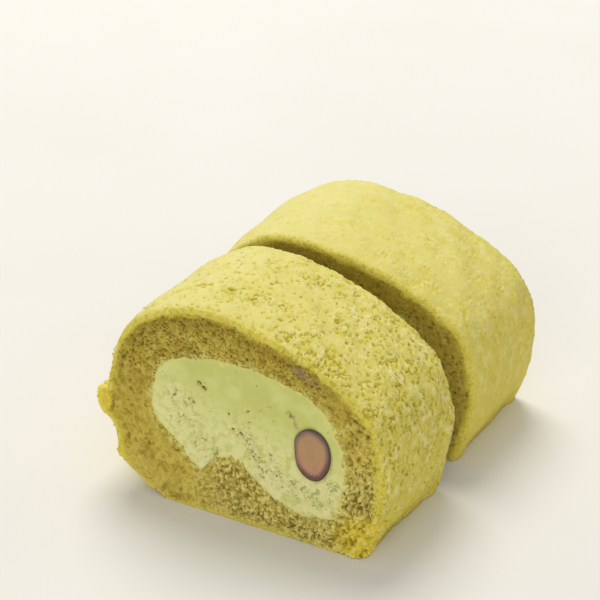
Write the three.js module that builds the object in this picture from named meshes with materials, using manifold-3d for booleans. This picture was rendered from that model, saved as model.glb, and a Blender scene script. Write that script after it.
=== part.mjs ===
// A green tea Swiss roll, cut across into two thick slices that still stand in line.
// Each slice is a ring of sponge round a core of pale cream, and a halved red bean shows in the front cut.
// Millimetres. X runs across the roll, Y along it from the front cut to the back, Z is up from the board.

import * as THREE from 'three';
import Module from 'manifold-3d';
import { mergeVertices } from 'three/addons/utils/BufferGeometryUtils.js';

const wasm = await Module();
wasm.setup();

// The rolled sponge, seen along the roll: it stands on a flat base from leftFoot to rightFoot,
// and the arch runs from the right foot over the crown to the left foot.
const rightFoot = [28.2, 0];
const leftFoot = [-19, 0];
const arch = [[31, 8.5], [32.1, 17.5], [29.5, 28.4], [21.8, 35], [10, 40.2],
  [-3, 43], [-14, 43.1], [-22.8, 39.8], [-29.2, 32.6], [-32.2, 22.5], [-31.4, 12.8], [-28.3, 5.2], [-23.8, 1.4]];

// The cream, counter-clockwise from its right side. The dent in its base is the inner end of the sponge sheet.
const creamOutline = [[22, 20], [18, 28.4], [9, 32.3], [0, 33.3], [-10, 32.7], [-17, 30.2], [-20.6, 24],
  [-20.2, 18], [-15.5, 14], [-9.4, 9.4], [-5.6, 12.8], [-0.5, 13.1], [3.6, 10], [9.5, 6.9], [19, 6.8], [22.4, 11]];

// The two slices. A lean tips the front cut back as it rises, and a skew turns the back cut across the roll.
const frontSlice = { depth: 33.6, lean: 0.061, skew: -0.107, wavePhase: 0.4 };
const rearSlice = { depth: 33, lean: 0, skew: -0.053, wavePhase: 2.9 };
const kerf = 7;
const rearShift = -1.5;
const rearTurn = THREE.MathUtils.degToRad(2);

// The roll is a little slimmer at its rear end.
const rearScale = 0.985;

// The knife draws the sheet in at each cut, so a slice is fullest halfway between its cuts.
const drawIn = 0.036;
const rimRadius = 1.5;
const rimDepth = 0.7;
const bellyHeight = 15;

// The outer end of the sheet lies against the left side as a ledge, steep above and fading below.
const seam = { top: 21.8, shoulder: 19.6, foot: 15.6, bottom: 12, lift: 3, sway: 0.4, swayTurns: 1.3 };

// Soft waves in the peeled skin: turns per millimetre across and up, and turns along a whole slice.
const waveHeight = 0.13;
const waves = [
  { across: 0.052, up: 0.012, along: 0.9 },
  { across: -0.021, up: 0.071, along: -1.6 },
  { across: 0.094, up: -0.06, along: 2.3 },
];

const bean = { x: 15.6, z: 19.2, across: 7.6, deep: 7.2, tall: 10.6, behindCut: 0.5, taper: 0.16, tilt: -0.12 };

const gap = 0.3;
const outlineCount = 100;
const creamCount = 64;
const sectionCount = 14;
const beanSegments = [22, 14];

const mix = THREE.MathUtils.lerp;
const smooth = THREE.MathUtils.smoothstep;
const turn = 2 * Math.PI;

function vectors(points) {
  return points.map(([x, z]) => new THREE.Vector2(x, z));
}

function rollShape() {
  const shape = new THREE.Shape();
  shape.moveTo(...leftFoot);
  shape.lineTo(...rightFoot);
  shape.splineThru(vectors([...arch, leftFoot]));
  return new THREE.Shape(shape.getSpacedPoints(outlineCount));
}

// The cream's outline, moved outwards by a margin.
function creamShape(margin) {
  const points = creamOutline.map(([x, z]) => new THREE.Vector3(x, z, 0));
  const curve = new THREE.CatmullRomCurve3(points, true, 'centripetal');
  const outline = [];
  for (let i = 0; i < creamCount; i += 1) {
    const point = curve.getPointAt(i / creamCount);
    const tangent = curve.getTangentAt(i / creamCount);
    outline.push(new THREE.Vector2(point.x + tangent.y * margin, point.y - tangent.x * margin));
  }
  return new THREE.Shape(outline);
}

// The place along Y of a point at share t of the way from the front cut to the back cut.
function alongSlice(slice, x, z, t) {
  return mix(slice.lean * z, slice.depth + slice.skew * x, t);
}

// A shape carried through a slice from share tFront to tBack, with place() moving each of its points.
function extruded(shape, slice, steps, tFront, tBack, place = (point) => point) {
  const geometry = new THREE.ExtrudeGeometry(shape, { depth: 1, steps, bevelEnabled: false });
  const position = geometry.getAttribute('position');
  const point = new THREE.Vector3();
  for (let i = 0; i < position.count; i += 1) {
    // Many sections lie closest together at the rims, where the form turns most.
    const share = position.getZ(i);
    const eased = steps > 1 ? 0.5 - 0.5 * Math.cos(Math.PI * share) : share;
    // The shape's faces turn with the swap of Y and Z, so its last section is the front one.
    point.set(position.getX(i), mix(tBack, tFront, eased), position.getY(i));
    place(point);
    position.setXYZ(i, point.x, alongSlice(slice, point.x, point.z, point.y), point.z);
  }
  return geometry;
}

// How far the rim has turned in at a distance from the cut, from 1 at the cut to 0, as on a quarter circle.
function rimTurn(distance) {
  const reach = Math.max(1 - distance / rimRadius, 0);
  return 1 - Math.sqrt(1 - reach ** 2);
}

function seamLift(point, t, phase) {
  if (point.x > 0) return 0;
  const height = point.z + seam.sway * Math.sin(turn * seam.swayTurns * t + phase);
  const rise = 1 - smooth(height, seam.shoulder, seam.top);
  return seam.lift * rise * smooth(height, seam.bottom, seam.foot);
}

function skinWave(point, t, phase) {
  return waves.reduce((height, wave, i) => {
    const turns = wave.across * point.x + wave.up * point.z + wave.along * t;
    return height + waveHeight * Math.sin(turn * turns + phase * (i + 1));
  }, 0);
}

// A point of the roll's side: drawn in towards the cuts, turned in at the rims, lifted at the seam and waved.
// Its y is still the share of the way through the slice. The base stays flat on the board.
function placeSkin(slice) {
  return (point) => {
    const t = point.y;
    const draw = 1 - drawIn * (2 * t - 1) ** 4;
    const distance = Math.min(t, 1 - t) * slice.depth;
    const lift = seamLift(point, t, slice.wavePhase) + skinWave(point, t, slice.wavePhase);
    const offset = lift - rimDepth * rimTurn(distance);
    const outward = new THREE.Vector2(point.x, point.z - bellyHeight).normalize();
    if (point.z > 0) {
      point.x = point.x * draw + outward.x * offset;
      point.z = Math.max(bellyHeight + (point.z - bellyHeight) * draw + outward.y * offset, 0);
    } else {
      point.x = point.x * draw + outward.x * Math.min(offset, 0);
    }
  };
}

function toSolid(geometry) {
  geometry.deleteAttribute('normal');
  geometry.deleteAttribute('uv');
  const merged = mergeVertices(geometry, 1e-4);
  return new wasm.Manifold(new wasm.Mesh({
    numProp: 3,
    vertProperties: new Float32Array(merged.getAttribute('position').array),
    triVerts: new Uint32Array(merged.index.array),
  }));
}

function toMesh(name, solid, material) {
  const mesh = solid.getMesh();
  const geometry = new THREE.BufferGeometry();
  geometry.setAttribute('position', new THREE.BufferAttribute(mesh.vertProperties, 3));
  geometry.setIndex(new THREE.BufferAttribute(mesh.triVerts, 1));
  geometry.computeVertexNormals();
  const result = new THREE.Mesh(geometry, material);
  result.name = name;
  return result;
}

// An egg that narrows towards its lower end, standing across the front cut.
function eggSolid(margin) {
  const geometry = new THREE.SphereGeometry(1, ...beanSegments);
  const position = geometry.getAttribute('position');
  for (let i = 0; i < position.count; i += 1) {
    const up = position.getY(i);
    const width = 1 + bean.taper * up;
    const x = position.getX(i) * width * (bean.across / 2 + margin);
    const y = -position.getZ(i) * width * (bean.deep / 2 + margin);
    position.setXYZ(i, x, y, up * (bean.tall / 2 + margin));
  }
  geometry.rotateY(bean.tilt);
  geometry.translate(bean.x, bean.behindCut + frontSlice.lean * bean.z, bean.z);
  return toSolid(geometry);
}

// The knife halved the bean, so only what lies behind the front cut is left.
function beanSolid() {
  const half = new THREE.Shape(rollShape().getPoints());
  return eggSolid(0).intersect(toSolid(extruded(half, frontSlice, 1, 0, 1)));
}

function sponge(slice) {
  const roll = toSolid(extruded(rollShape(), slice, sectionCount, 0, 1, placeSkin(slice)));
  const hollow = toSolid(extruded(creamShape(gap), slice, 1, -0.3, 1.3));
  return roll.subtract(hollow);
}

function cream(slice) {
  return toSolid(extruded(creamShape(0), slice, 1, 0, 1));
}

const spongeMaterial = new THREE.MeshStandardMaterial({ color: 0xc9bb66, roughness: 0.95, metalness: 0 });
const creamMaterial = new THREE.MeshStandardMaterial({ color: 0xc9ca82, roughness: 0.6, metalness: 0 });
const beanMaterial = new THREE.MeshStandardMaterial({ color: 0x8a5f4c, roughness: 0.45, metalness: 0 });

const front = new THREE.Group();
front.add(toMesh('front_sponge', sponge(frontSlice), spongeMaterial));
front.add(toMesh('front_cream', cream(frontSlice).subtract(eggSolid(gap)), creamMaterial));
front.add(toMesh('front_bean', beanSolid(), beanMaterial));

const rear = new THREE.Group();
rear.add(toMesh('rear_sponge', sponge(rearSlice), spongeMaterial));
rear.add(toMesh('rear_cream', cream(rearSlice), creamMaterial));
rear.position.set(rearShift, frontSlice.depth + kerf, 0);
rear.rotation.z = rearTurn;
rear.scale.set(rearScale, 1, rearScale);

// The origin is midway across and along the whole, on the board.
const roll = new THREE.Group();
roll.add(front, rear);
const box = new THREE.Box3().setFromObject(roll, true);
roll.position.set(-(box.min.x + box.max.x) / 2, -(box.min.y + box.max.y) / 2, -box.min.z);
roll.updateMatrixWorld(true);

export default roll;
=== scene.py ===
import math

import bpy
import numpy as np
from mathutils import Matrix, Vector, noise


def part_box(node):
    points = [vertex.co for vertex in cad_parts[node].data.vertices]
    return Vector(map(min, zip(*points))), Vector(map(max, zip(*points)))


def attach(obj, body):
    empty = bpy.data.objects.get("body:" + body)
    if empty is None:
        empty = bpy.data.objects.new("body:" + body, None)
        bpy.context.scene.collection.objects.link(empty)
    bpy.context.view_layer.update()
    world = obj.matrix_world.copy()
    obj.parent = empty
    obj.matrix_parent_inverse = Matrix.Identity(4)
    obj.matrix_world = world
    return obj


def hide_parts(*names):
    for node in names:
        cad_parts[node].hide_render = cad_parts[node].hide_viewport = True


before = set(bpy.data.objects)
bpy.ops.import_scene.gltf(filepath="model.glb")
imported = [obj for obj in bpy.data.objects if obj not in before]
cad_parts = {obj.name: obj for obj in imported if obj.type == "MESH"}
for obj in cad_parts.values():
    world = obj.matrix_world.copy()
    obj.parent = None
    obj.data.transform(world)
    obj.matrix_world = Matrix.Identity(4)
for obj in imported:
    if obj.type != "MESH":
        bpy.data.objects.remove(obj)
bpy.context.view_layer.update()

# Sizes are in millimetres, seen along the roll: x across it, y from the front cut to the back, z up.
# A finished mesh is then set in the frame's metres.


# A colour in parts of 255, as the eye sees it.
def paint(red, green, blue):
    shares = [part / 255 for part in (red, green, blue)]
    linear = [share / 12.92 if share <= 0.04045 else ((share + 0.055) / 1.055) ** 2.4 for share in shares]
    return (*linear, 1.0)


# An operator that adds a Math node. The swapped form serves where a plain value stands first.
def operator(operation, swapped=False):
    def made(self, other=0.0):
        first, second = (other, self) if swapped else (self, other)
        return self.maker.maths(operation, first, second)
    return made


# A socket with the tree it belongs to, so that values can be worked out as plain expressions.
class Wire:
    def __init__(self, maker, socket):
        self.maker = maker
        self.socket = socket

    __add__, __radd__ = operator("ADD"), operator("ADD", True)
    __sub__, __rsub__ = operator("SUBTRACT"), operator("SUBTRACT", True)
    __mul__, __rmul__ = operator("MULTIPLY"), operator("MULTIPLY", True)
    __truediv__, __mod__, __pow__ = operator("DIVIDE"), operator("FLOORED_MODULO"), operator("POWER")
    __gt__, __lt__ = operator("GREATER_THAN"), operator("LESS_THAN")
    lowest, highest = operator("MINIMUM"), operator("MAXIMUM")
    sine, cosine, root = operator("SINE"), operator("COSINE"), operator("SQRT")
    size, rounded = operator("ABSOLUTE"), operator("ROUND")

    def held(self):  # kept between 0 and 1
        return self.highest(0).lowest(1)

    def ease(self, low, topLightShare):  # 0 at low, 1 at high, eased between
        values = {"Value": self, "From Min": low, "From Max": topLightShare}
        return self.maker.add("ShaderNodeMapRange", {"interpolation_type": "SMOOTHSTEP"}, values)["Result"]


# The sockets of a node that was just added, by name.
class Made:
    def __init__(self, maker, node):
        self.maker = maker
        self.node = node

    def __getitem__(self, name):
        return Wire(self.maker, findSocket(self.node.outputs, name))


def findSocket(sockets, name):
    if isinstance(name, int):
        return sockets[name]
    return next(socket for socket in sockets if socket.name == name and socket.enabled)


# Adds nodes to one tree: their settings first, then the values or links of their sockets.
class Maker:
    def __init__(self, tree):
        self.tree = tree

    def add(self, kind, settings=None, values=None):
        node = self.tree.nodes.new(kind)
        for name, setting in (settings or {}).items():
            setattr(node, name, setting)
        for name, value in (values or {}).items():
            socket = findSocket(node.inputs, name)
            if isinstance(value, Wire):
                self.tree.links.new(value.socket, socket)
            else:
                socket.default_value = value
        return Made(self, node)

    def maths(self, operation, first, second=0.0):
        return self.add("ShaderNodeMath", {"operation": operation}, {0: first, 1: second})["Value"]

    def vectorMaths(self, operation, *vectors, **values):
        given = {**dict(enumerate(vectors)), **values}
        return self.add("ShaderNodeVectorMath", {"operation": operation}, given)

    def moved(self, vector, by):
        return self.vectorMaths("ADD", vector, by)["Vector"]

    def scaled(self, vector, by):
        return self.vectorMaths("SCALE", vector, Scale=by)["Vector"]

    def stretched(self, vector, by):
        return self.vectorMaths("MULTIPLY", vector, by)["Vector"]

    def length(self, vector):
        return self.vectorMaths("LENGTH", vector)["Value"]

    def split(self, vector):
        node = self.add("ShaderNodeSeparateXYZ", None, {"Vector": vector})
        return node["X"], node["Y"], node["Z"]

    def join(self, x, y, z):
        return self.add("ShaderNodeCombineXYZ", None, {"X": x, "Y": y, "Z": z})["Vector"]

    def between(self, share, first, second):
        return first + (second - first) * share

    def noise(self, vector, size, detail=2.0, roughness=0.5):
        values = {"Vector": vector, "Scale": 1 / size, "Detail": detail, "Roughness": roughness}
        return self.add("ShaderNodeTexNoise", None, values)["Fac"]

    def noises(self, vector, grains):
        return [self.noise(vector, *grain) for grain in grains.values()]

    def stray(self, vector, size):  # a vector whose parts lie round 0
        values = {"Vector": vector, "Scale": 1 / size, "Detail": 1.0}
        colour = self.add("ShaderNodeTexNoise", None, values)["Color"]
        return self.vectorMaths("SUBTRACT", colour, (0.5, 0.5, 0.5))["Vector"]

    def cells(self, vector, size):
        values = {"Vector": vector, "Scale": 1 / size}
        return self.add("ShaderNodeTexVoronoi", {"feature": "F1"}, values)["Distance"]

    def blend(self, share, first, second):  # colours
        values = {"Factor": share, "A": first, "B": second}
        return self.add("ShaderNodeMix", {"data_type": "RGBA"}, values)["Result"]

    def coats(self, colour, colours, coats):  # each coat is a share and the name of the colour laid on
        for share, name in coats:
            colour = self.blend(share, colour, colours[name])
        return colour

    def value(self, name, output="Fac"):  # what the mesh carries, read by a material
        return self.add("ShaderNodeAttribute", {"attribute_name": name})[output]

    def read(self, name, kind="FLOAT"):  # the same, read by Geometry Nodes
        return self.add("GeometryNodeInputNamedAttribute", {"data_type": kind}, {"Name": name})["Attribute"]

    def store(self, mesh, name, value, kind="FLOAT"):
        settings = {"data_type": kind, "domain": "POINT"}
        values = {"Geometry": mesh, "Name": name, "Value": value}
        return self.add("GeometryNodeStoreNamedAttribute", settings, values)["Geometry"]

    def sampled(self, points, value, index, kind="FLOAT"):
        values = {"Geometry": points, "Value": value, "Index": index}
        return self.add("GeometryNodeSampleIndex", {"data_type": kind, "domain": "POINT"}, values)["Value"]

    def place(self):
        return self.add("GeometryNodeInputPosition")["Position"]

    def setPlace(self, mesh, place):
        return self.add("GeometryNodeSetPosition", None, {"Geometry": mesh, "Position": place})["Geometry"]

    def raised(self, mesh, place, height):  # moved out along its normals, but not through the board
        normal = self.add("GeometryNodeInputNormal")["Normal"]
        x, y, z = self.split(self.moved(place, self.scaled(normal, height)))
        return self.setPlace(mesh, self.join(x, y, z.highest(0)))

    def scattered(self, mesh, density, seed):
        values = {"Mesh": mesh, "Density": density, "Seed": seed}
        settings = {"distribute_method": "RANDOM"}
        return self.add("GeometryNodeDistributePointsOnFaces", settings, values)["Points"]

    def drawn(self, seed, kind="FLOAT", **values):
        return self.add("FunctionNodeRandomValue", {"data_type": kind}, {**values, "Seed": seed})["Value"]


# A Geometry Nodes tree whose named inputs come from a dictionary.
def newGeometryTree(name, inputs):
    tree = bpy.data.node_groups.new(name, "GeometryNodeTree")
    tree.interface.new_socket("Geometry", in_out="OUTPUT", socket_type="NodeSocketGeometry")
    tree.interface.new_socket("Geometry", in_out="INPUT", socket_type="NodeSocketGeometry")
    tree.interface.new_socket("Material", in_out="INPUT", socket_type="NodeSocketMaterial")
    for inputName, value in inputs.items():
        kind = "NodeSocketInt" if isinstance(value, int) else "NodeSocketFloat"
        tree.interface.new_socket(inputName, in_out="INPUT", socket_type=kind).default_value = value
    maker = Maker(tree)
    return maker, maker.add("NodeGroupInput")


def endGeometryTree(maker, given, geometry):
    real = maker.add("GeometryNodeRealizeInstances", None, {"Geometry": geometry})["Geometry"]
    values = {"Geometry": real, "Material": given["Material"]}
    finished = maker.add("GeometryNodeSetMaterial", None, values)["Geometry"]
    maker.add("NodeGroupOutput", None, {"Geometry": finished})
    return maker.tree


# Runs a tree on a mesh with its inputs set, and gives the result back as a plain mesh.
def grow(mesh, tree, material, inputs):
    inputs = {**inputs, "Material": material}
    source = bpy.data.objects.new("growing", mesh)
    bpy.context.scene.collection.objects.link(source)
    modifier = source.modifiers.new("tree", "NODES")
    modifier.node_group = tree
    for item in tree.interface.items_tree:
        if item.in_out == "INPUT" and item.name in inputs:
            modifier[item.identifier] = inputs[item.name]
    graph = bpy.context.evaluated_depsgraph_get()
    grown = bpy.data.meshes.new_from_object(source.evaluated_get(graph), depsgraph=graph)
    source.modifiers.remove(modifier)
    bpy.data.objects.remove(source)
    return grown


rollForm = {
    "rightFoot": (28.2, 0),
    "leftFoot": (-19, 0),
    "arch": [(31, 8.5), (32.1, 17.5), (29.5, 28.4), (21.8, 35), (10, 40.2), (-3, 43), (-14, 43.1),
             (-22.8, 39.8), (-29.9, 32.8), (-32.6, 22.6), (-31.4, 12.8), (-28.3, 5.2), (-23.8, 1.4)],
    "cream": [(22, 20), (18, 28.4), (9, 32.3), (0, 33.3), (-10, 32.7), (-17, 30.2), (-20.6, 24),
              (-20.2, 18), (-15.5, 14), (-9.4, 9.4), (-5.6, 12.8), (-0.5, 13.1), (3.6, 10), (9.5, 6.9),
              (19, 6.8), (22.4, 11)],
    "heart": (-1, 21),       # the columns of every mesh fan out from here
    "rollRadius": 26.0,
    # Waves round the cream: how many, their height in mm and their phase. The rag is strongest at one turn.
    "creamWobble": [(5, 0.16, 0.3), (9, 0.1, 1.9), (17, 0.09, 4.0), (31, 0.07, 2.2)],
    "creamRag": [(23, 0.2, 1.1), (37, 0.2, 0.2), (52, 0.16, 3.0), (71, 0.12, 5.0)],
    "ragTurn": -0.85,
    "spongeLap": -1.2,       # sponge and cream reach into each other, so that no gap shows
    "creamLap": 1.2,
    "baseSpread": 1.3,       # columns stand this much further apart on the hidden base
    "baseSteps": 200,
}


# A smooth line through points. At evenness 0 every stretch counts alike, at 0.5 a longer one curves more.
def lineThrough(points, closed, evenness, steps=60):
    points = np.array(points, float)
    if closed:
        points = np.vstack([points[-1:], points, points[:2]])
    else:
        points = np.vstack([points[:1], points, points[-1:]])
    line = []
    for before, start, end, after in zip(points, points[1:], points[2:], points[3:]):
        pairs = ((before, start), (start, end), (end, after))
        first, own, last = (np.linalg.norm(end - start) ** evenness for start, end in pairs)
        leave = (start - before) / first - (end - before) / (first + own) + (end - start) / own
        arrive = (end - start) / own - (after - start) / (own + last) + (after - end) / last
        leave, arrive = leave * own, arrive * own
        t = np.linspace(0, 1, steps, endpoint=False)[:, None]
        line.append(start + leave * t + (3 * (end - start) - 2 * leave - arrive) * t ** 2
                    + (2 * (start - end) + leave + arrive) * t ** 3)
    return np.vstack(line)


def creamLine():
    return lineThrough(rollForm["cream"], True, 0.5)


# Points round the roll, wider apart on the base, and the angle at which each is seen from the heart.
def fanColumns(columns):
    arch = lineThrough([rollForm["rightFoot"], *rollForm["arch"], rollForm["leftFoot"]], False, 0)
    base = np.linspace(rollForm["leftFoot"], rollForm["rightFoot"], rollForm["baseSteps"])
    line = np.vstack([arch, base])
    steps = np.linalg.norm(np.diff(line, axis=0), axis=1)
    steps[len(arch):] /= rollForm["baseSpread"]
    along = np.concatenate([[0], np.cumsum(steps)])
    wanted = np.arange(columns) / columns * along[-1]
    outer = np.stack([np.interp(wanted, along, line[:, i]) for i in range(2)], 1)
    away = outer - rollForm["heart"]
    return outer, np.arctan2(away[:, 1], away[:, 0])


def wavesRound(waves, angles):
    return sum(height * np.sin(count * angles + phase) for count, height, phase in waves)


# The cream's outline moved outwards by a margin, at the fan's angles.
def creamColumns(angles, margin):
    away = creamLine() - rollForm["heart"]
    turns = np.arctan2(away[:, 1], away[:, 0])
    order = np.argsort(turns)
    reach = np.linalg.norm(away, axis=1) + margin
    radii = np.interp(angles, turns[order], reach[order], period=2 * math.pi)
    radii += wavesRound(rollForm["creamWobble"], angles)
    ragged = np.clip(0.4 + np.cos(angles - rollForm["ragTurn"]), 0.1, 1)
    radii += ragged * wavesRound(rollForm["creamRag"], angles)
    return np.stack([np.cos(angles), np.sin(angles)], 1) * radii[:, None] + rollForm["heart"]


# The mesh that a layer is stretched over: its outer outline, then its inner one.
def outlineMesh(outer, inner):
    mesh = bpy.data.meshes.new("outlines")
    mesh.from_pydata([(x, 0, z) for x, z in np.vstack([outer, inner])], [], [])
    return mesh


layerForm = {
    "Columns": 600, "Front Rows": 30, "Side Rows": 90, "Back Rows": 30, "Inner Rows": 4, "Hollow": 1,
    "Depth": 33.0, "Lean": 0.0, "Skew": 0.0, "Wave Phase": 0.0,
}
skinForm = {  # what the knife and the peeled paper do to the side of a slice
    "Draw In": 0.036, "Rim Radius": 0.9, "Rim Depth": 0.5, "Belly Height": 15.0,
    "Seam Top": 21.0, "Seam Shoulder": 19.3, "Seam Foot": 17.2, "Seam Bottom": 12.6, "Seam Lift": 2.7,
    "Seam Sway": 0.4, "Seam Sway Turns": 1.3, "Wave Height": 0.13, "Tuck Depth": 1.3, "Tuck Height": 8.0,
}
noSkin = {"Draw In": 0.0, "Rim Depth": 0.0, "Seam Lift": 0.0, "Wave Height": 0.0, "Tuck Depth": 0.0}
skinWaves = [(0.052, 0.012, 0.9), (-0.021, 0.071, -1.6), (0.094, -0.06, 2.3)]  # turns across, up and along
tuckReach = (1.5, 7.0)       # how far from a cut the right foot starts to tuck in, and where it is whole


# One layer of a slice: a grid carried out over the front cut, back along the side, in over the back cut and,
# round a hollow, forward through it.
def buildLayerTree():
    maker, given = newGeometryTree("slice layer", {**layerForm, **skinForm})
    columns, front, side = given["Columns"], given["Front Rows"], given["Side Rows"]
    back, inward = given["Back Rows"], given["Inner Rows"]
    rows = front + side + back + inward
    sizes = {"Size X": 1.0, "Size Y": 1.0, "Vertices X": columns + 1, "Vertices Y": rows + 1}
    grid = maker.add("GeometryNodeMeshGrid", None, sizes)["Mesh"]
    acrossGrid, alongGrid, _ = maker.split(maker.place())
    column = ((acrossGrid + 0.5) * columns).rounded() % columns
    row = (alongGrid + 0.5) * rows
    filled = (1 - given["Hollow"]) * (row > front + side + back)
    values = {"Geometry": grid, "Selection": filled}
    grid = maker.add("GeometryNodeDeleteGeometry", {"domain": "FACE"}, values)["Geometry"]

    # out is 0 at the inner outline and 1 at the outer, t is 0 at the front cut and 1 at the back one.
    out = (row / front).held() - ((row - front - side) / back).held()
    t = ((row - front) / side).held() - ((row - front - side - back) / inward).held()
    outerX, outerZ = outlinePoint(maker, given, column)
    innerX, innerZ = outlinePoint(maker, given, column + columns)
    sideX, sideZ = movedSide(maker, given, outerX, outerZ, t)
    x = maker.between(out, innerX, sideX)
    z = maker.between(out, innerZ, sideZ)
    y = maker.between(t, given["Lean"] * z, given["Depth"] + given["Skew"] * x)

    # What the relief and the materials read: mm under the skin, from the cream and from the nearer cut, and a
    # place that has the turn round the roll in its x and y, and the depths under skin and cut in its z.
    thick = maker.length(maker.join(sideX - innerX, 0.0, sideZ - innerZ))
    below = (1 - out) * thick
    turned = maker.maths("ARCTAN2", outerX - rollForm["heart"][0], outerZ - rollForm["heart"][1])
    radius = rollForm["rollRadius"]
    grid = maker.store(grid, "below", below)
    grid = maker.store(grid, "inside", out * thick)
    grid = maker.store(grid, "reach", t.lowest(1 - t) * given["Depth"])
    rolled = maker.join(turned.sine() * radius, turned.cosine() * radius, below + y)
    grid = maker.store(grid, "rolled", rolled, "FLOAT_VECTOR")
    layer = maker.setPlace(grid, maker.join(x, y, z))
    layer = maker.add("GeometryNodeMergeByDistance", None, {"Geometry": layer, "Distance": 1e-3})["Geometry"]
    layer = maker.add("GeometryNodeFlipFaces", None, {"Mesh": layer})["Mesh"]
    return endGeometryTree(maker, given, layer)


def outlinePoint(maker, given, index):
    x, _, z = maker.split(maker.sampled(given["Geometry"], maker.place(), index, "FLOAT_VECTOR"))
    return x, z


# The outer outline at share t of the way through a slice: drawn in towards the cuts, turned in at the rims,
# lifted at the seam, tucked in at the right foot and waved, and flat on the base.
def movedSide(maker, given, x, z, t):
    turn = 2 * math.pi
    phase = given["Wave Phase"]
    height = z + given["Seam Sway"] * (turn * given["Seam Sway Turns"] * t + phase).sine()
    rise = 1 - height.ease(given["Seam Shoulder"], given["Seam Top"])
    seam = given["Seam Lift"] * rise * height.ease(given["Seam Bottom"], given["Seam Foot"]) * (x < 0)
    wave = sum((turn * (across * x + up * z + along * t) + phase * (i + 1)).sine()
               for i, (across, up, along) in enumerate(skinWaves))
    fromCut = t.lowest(1 - t) * given["Depth"]
    turnIn = 1 - (1 - (1 - fromCut / given["Rim Radius"]).highest(0) ** 2).root()
    tuck = z.ease(given["Tuck Height"], 0.0) * (x > 0) * fromCut.ease(*tuckReach)
    offset = seam + given["Wave Height"] * wave - given["Rim Depth"] * turnIn - given["Tuck Depth"] * tuck
    belly = given["Belly Height"]
    away = maker.vectorMaths("NORMALIZE", maker.join(x, 0.0, z - belly))["Vector"]
    awayX, _, awayZ = maker.split(away)
    middle = (2 * t - 1) * (2 * t - 1)
    draw = 1 - given["Draw In"] * middle * middle
    onArch = z > 0.001
    offset = maker.between(onArch, offset.lowest(0), offset)
    sideZ = (belly + (z - belly) * draw + awayZ * offset).highest(0) * onArch
    return x * draw + awayX * offset, sideZ


pitForm = {  # radii in mm, pits per square mm, and how much longer a pit is round the roll
    "large": {"Seed": 4, "Per Area": 0.012, "Smallest": 0.4, "Largest": 0.9, "Stretch": 1.4, "Warp": 1.1},
    "small": {"Seed": 11, "Per Area": 0.55, "Smallest": 0.16, "Largest": 0.46, "Stretch": 1.5, "Warp": 0.7},
    "pores": {"Seed": 23, "Per Area": 0.6, "Smallest": 0.2, "Largest": 0.5, "Stretch": 1.5, "Warp": 0.5},
    "bubbles": {"Seed": 31, "Per Area": 0.03, "Smallest": 0.2, "Largest": 0.42, "Stretch": 1.2, "Warp": 0.4},
    "specks": {"Seed": 37, "Per Area": 0.9, "Smallest": 0.12, "Largest": 0.4, "Stretch": 1.0, "Warp": 0.3},
}
pitWarpSize = 0.9
pitFloor = 0.3               # the share of its radius over which a pit is flat


# Hollows scattered over a surface where it says, 1 deep in their middles. A pit is longer round the roll, and
# its edge is warped.
def pitHollow(maker, mesh, where, form):
    points = maker.scattered(mesh, where * form["Per Area"], form["Seed"])
    place = maker.place()
    warp = maker.scaled(maker.stray(place, pitWarpSize), 2 * form["Warp"])
    values = {"Geometry": points, "Sample Position": maker.moved(place, warp)}
    nearest = maker.add("GeometryNodeSampleNearest", {"domain": "POINT"}, values)["Index"]
    drawn = maker.drawn(form["Seed"] + 1)
    radius = form["Smallest"] + (form["Largest"] - form["Smallest"]) * drawn * drawn
    radius = maker.sampled(points, radius, nearest)
    rolled = maker.read("rolled", "FLOAT_VECTOR")
    centre = maker.sampled(points, rolled, nearest, "FLOAT_VECTOR")
    apart = maker.moved(maker.vectorMaths("SUBTRACT", rolled, centre)["Vector"], warp)
    apart = maker.stretched(apart, (1 / form["Stretch"], 1 / form["Stretch"], 1.0))
    return 1 - (maker.length(apart) / radius).ease(pitFloor, 1.0)


reliefForm = {  # heights in mm
    "Lump Height": 0.5, "Grain Height": 0.4, "Pill Height": 0.35, "Knead Height": 0.8, "Fissure Depth": 0.4,
    "Large Pit Depth": 0.6, "Small Pit Depth": 0.32, "Pore Depth": 0.42, "Crumble Height": 1.25,
    "Rag Height": 0.9, "Tear Height": 2.0, "Dip Depth": 0.3,
    "Front Share": 1.0,
}
reliefGrain = {  # the size of each noise in mm, then its detail and roughness
    "broad": (6.0,), "calm": (8.0,), "lump": (5.0,), "grain": (1.15, 4.0, 0.62), "patchy": (4.0,),
    "crumble": (1.3, 4.0, 0.7), "rag": (1.5, 3.0, 0.6), "ledgeLump": (2.2,), "ledgeGrain": (1.0, 3.0),
}
warpedGrain = {"knead": (1.7, 4.0, 0.65), "shreds": (1.9, 4.0, 0.65)}
foldGrain = (1.9, 3.0, 0.6)
reliefSpots = {  # of the front slice: the middle, and how far from it each is still whole and where it ends
    "torn": ((27.0, 1.0, 3.0), 3.0, 8.0),      # the lower right corner
    "bump": ((-29.0, 1.5, 6.6), 0.2, 2.8),
    "ledge": ((-33.6, 1.0, 17.6), 2.4, 4.6),
    "fleck": ((-29.5, 1.2, 29.8), 0.5, 1.2),
}


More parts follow.
